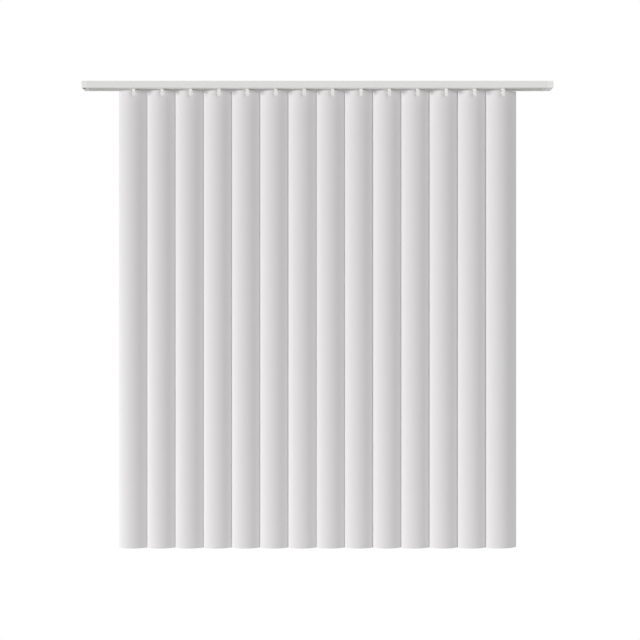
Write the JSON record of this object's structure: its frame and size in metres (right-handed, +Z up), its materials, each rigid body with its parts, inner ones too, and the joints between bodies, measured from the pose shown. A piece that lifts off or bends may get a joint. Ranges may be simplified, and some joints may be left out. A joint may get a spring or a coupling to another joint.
{
  "type": "vertical blind",
  "caption": "Vertical blind: curved white vanes hang from hooks under a slim slotted headrail and turn together to let in or shut out light.",
  "frame": {"origin": "middle of the headrail's top face, which lies against the ceiling", "axes": "+X along the headrail to the right as seen from the room, -Y to the room, +Z up"},
  "size_m": [1.34, 0.036, 1.3328],
  "materials": {
    "rail_paint": "white powder coat, satin",
    "cap_plastic": "white moulded, satin",
    "vane_pvc": "white extruded vinyl, satin",
    "hanger_plastic": "white moulded",
    "inner_plastic": "natural moulded acetal",
    "rod_metal": "drawn",
    "link_steel": "rolled strip"
  },
  "bodies": {
    "rail": {"headrail": "rail_paint", "control_end_cap": "cap_plastic", "idler_end_cap": "cap_plastic"},
    "rod": {"tilt_rod": "rod_metal", "chain_wheel": "inner_plastic", "rod_bush": "inner_plastic"},
    "carrier_train": {"carrier_01": "inner_plastic", "carrier_02": "inner_plastic", "carrier_03": "inner_plastic", "carrier_04": "inner_plastic", "carrier_05": "inner_plastic", "carrier_06": "inner_plastic", "carrier_07": "inner_plastic", "carrier_08": "inner_plastic", "carrier_09": "inner_plastic", "carrier_10": "inner_plastic", "carrier_11": "inner_plastic", "carrier_12": "inner_plastic", "carrier_13": "inner_plastic", "carrier_14": "inner_plastic", "spacer_links": "link_steel"},
    "worms": {"worm_sleeves": "inner_plastic"},
    "hung_vane_01": {"hanger_01": "hanger_plastic", "vane_01": "vane_pvc"},
    "hung_vane_02": {"hanger_02": "hanger_plastic", "vane_02": "vane_pvc"},
    "hung_vane_03": {"hanger_03": "hanger_plastic", "vane_03": "vane_pvc"},
    "hung_vane_04": {"hanger_04": "hanger_plastic", "vane_04": "vane_pvc"},
    "hung_vane_05": {"hanger_05": "hanger_plastic", "vane_05": "vane_pvc"},
    "hung_vane_06": {"hanger_06": "hanger_plastic", "vane_06": "vane_pvc"},
    "hung_vane_07": {"hanger_07": "hanger_plastic", "vane_07": "vane_pvc"},
    "hung_vane_08": {"hanger_08": "hanger_plastic", "vane_08": "vane_pvc"},
    "hung_vane_09": {"hanger_09": "hanger_plastic", "vane_09": "vane_pvc"},
    "hung_vane_10": {"hanger_10": "hanger_plastic", "vane_10": "vane_pvc"},
    "hung_vane_11": {"hanger_11": "hanger_plastic", "vane_11": "vane_pvc"},
    "hung_vane_12": {"hanger_12": "hanger_plastic", "vane_12": "vane_pvc"},
    "hung_vane_13": {"hanger_13": "hanger_plastic", "vane_13": "vane_pvc"},
    "hung_vane_14": {"hanger_14": "hanger_plastic", "vane_14": "vane_pvc"}
  },
  "joints": [
    {"name": "train_slide", "type": "slide", "parent": "rail", "child": "carrier_train", "axis": [1, 0, 0], "range_m": [-0.1, 0.095]},
    {"name": "vane_tilt_01", "type": "hinge", "parent": "carrier_train", "child": "hung_vane_01", "pos_m": [-0.524, 0, -0.0155], "axis": [0, 0, 1], "range_deg": [0, 170]},
    {"name": "vane_tilt_02", "type": "hinge", "parent": "carrier_train", "child": "hung_vane_02", "pos_m": [-0.443, 0, -0.0155], "axis": [0, 0, 1], "range_deg": [0, 170]},
    {"name": "vane_tilt_03", "type": "hinge", "parent": "carrier_train", "child": "hung_vane_03", "pos_m": [-0.362, 0, -0.0155], "axis": [0, 0, 1], "range_deg": [0, 170]},
    {"name": "vane_tilt_04", "type": "hinge", "parent": "carrier_train", "child": "hung_vane_04", "pos_m": [-0.281, 0, -0.0155], "axis": [0, 0, 1], "range_deg": [0, 170]},
    {"name": "vane_tilt_05", "type": "hinge", "parent": "carrier_train", "child": "hung_vane_05", "pos_m": [-0.2, 0, -0.0155], "axis": [0, 0, 1], "range_deg": [0, 170]},
    {"name": "vane_tilt_06", "type": "hinge", "parent": "carrier_train", "child": "hung_vane_06", "pos_m": [-0.119, 0, -0.0155], "axis": [0, 0, 1], "range_deg": [0, 170]},
    {"name": "vane_tilt_07", "type": "hinge", "parent": "carrier_train", "child": "hung_vane_07", "pos_m": [-0.038, 0, -0.0155], "axis": [0, 0, 1], "range_deg": [0, 170]},
    {"name": "vane_tilt_08", "type": "hinge", "parent": "carrier_train", "child": "hung_vane_08", "pos_m": [0.043, 0, -0.0155], "axis": [0, 0, 1], "range_deg": [0, 170]},
    {"name": "vane_tilt_09", "type": "hinge", "parent": "carrier_train", "child": "hung_vane_09", "pos_m": [0.124, 0, -0.0155], "axis": [0, 0, 1], "range_deg": [0, 170]},
    {"name": "vane_tilt_10", "type": "hinge", "parent": "carrier_train", "child": "hung_vane_10", "pos_m": [0.205, 0, -0.0155], "axis": [0, 0, 1], "range_deg": [0, 170]},
    {"name": "vane_tilt_11", "type": "hinge", "parent": "carrier_train", "child": "hung_vane_11", "pos_m": [0.286, 0, -0.0155], "axis": [0, 0, 1], "range_deg": [0, 170]},
    {"name": "vane_tilt_12", "type": "hinge", "parent": "carrier_train", "child": "hung_vane_12", "pos_m": [0.367, 0, -0.0155], "axis": [0, 0, 1], "range_deg": [0, 170]},
    {"name": "vane_tilt_13", "type": "hinge", "parent": "carrier_train", "child": "hung_vane_13", "pos_m": [0.448, 0, -0.0155], "axis": [0, 0, 1], "range_deg": [0, 170]},
    {"name": "vane_tilt_14", "type": "hinge", "parent": "carrier_train", "child": "hung_vane_14", "pos_m": [0.529, 0, -0.0155], "axis": [0, 0, 1], "range_deg": [0, 170]},
    {"name": "rod_turn", "type": "hinge", "parent": "rail", "child": "rod", "pos_m": [0, -0.009, -0.0095], "axis": [1, 0, 0], "range_deg": [0, 1360]},
    {"name": "worm_turn", "type": "hinge", "parent": "carrier_train", "child": "worms", "pos_m": [0, -0.009, -0.0095], "axis": [1, 0, 0], "range_deg": [0, 1360]}
  ],
  "couplings": [
    {"joint": "vane_tilt_02", "follows": "vane_tilt_01", "ratio": 1},
    {"joint": "vane_tilt_03", "follows": "vane_tilt_01", "ratio": 1},
    {"joint": "vane_tilt_04", "follows": "vane_tilt_01", "ratio": 1},
    {"joint": "vane_tilt_05", "follows": "vane_tilt_01", "ratio": 1},
    {"joint": "vane_tilt_06", "follows": "vane_tilt_01", "ratio": 1},
    {"joint": "vane_tilt_07", "follows": "vane_tilt_01", "ratio": 1},
    {"joint": "vane_tilt_08", "follows": "vane_tilt_01", "ratio": 1},
    {"joint": "vane_tilt_09", "follows": "vane_tilt_01", "ratio": 1},
    {"joint": "vane_tilt_10", "follows": "vane_tilt_01", "ratio": 1},
    {"joint": "vane_tilt_11", "follows": "vane_tilt_01", "ratio": 1},
    {"joint": "vane_tilt_12", "follows": "vane_tilt_01", "ratio": 1},
    {"joint": "vane_tilt_13", "follows": "vane_tilt_01", "ratio": 1},
    {"joint": "vane_tilt_14", "follows": "vane_tilt_01", "ratio": 1},
    {"joint": "rod_turn", "follows": "vane_tilt_01", "ratio": 8},
    {"joint": "worm_turn", "follows": "vane_tilt_01", "ratio": 8}
  ]
}
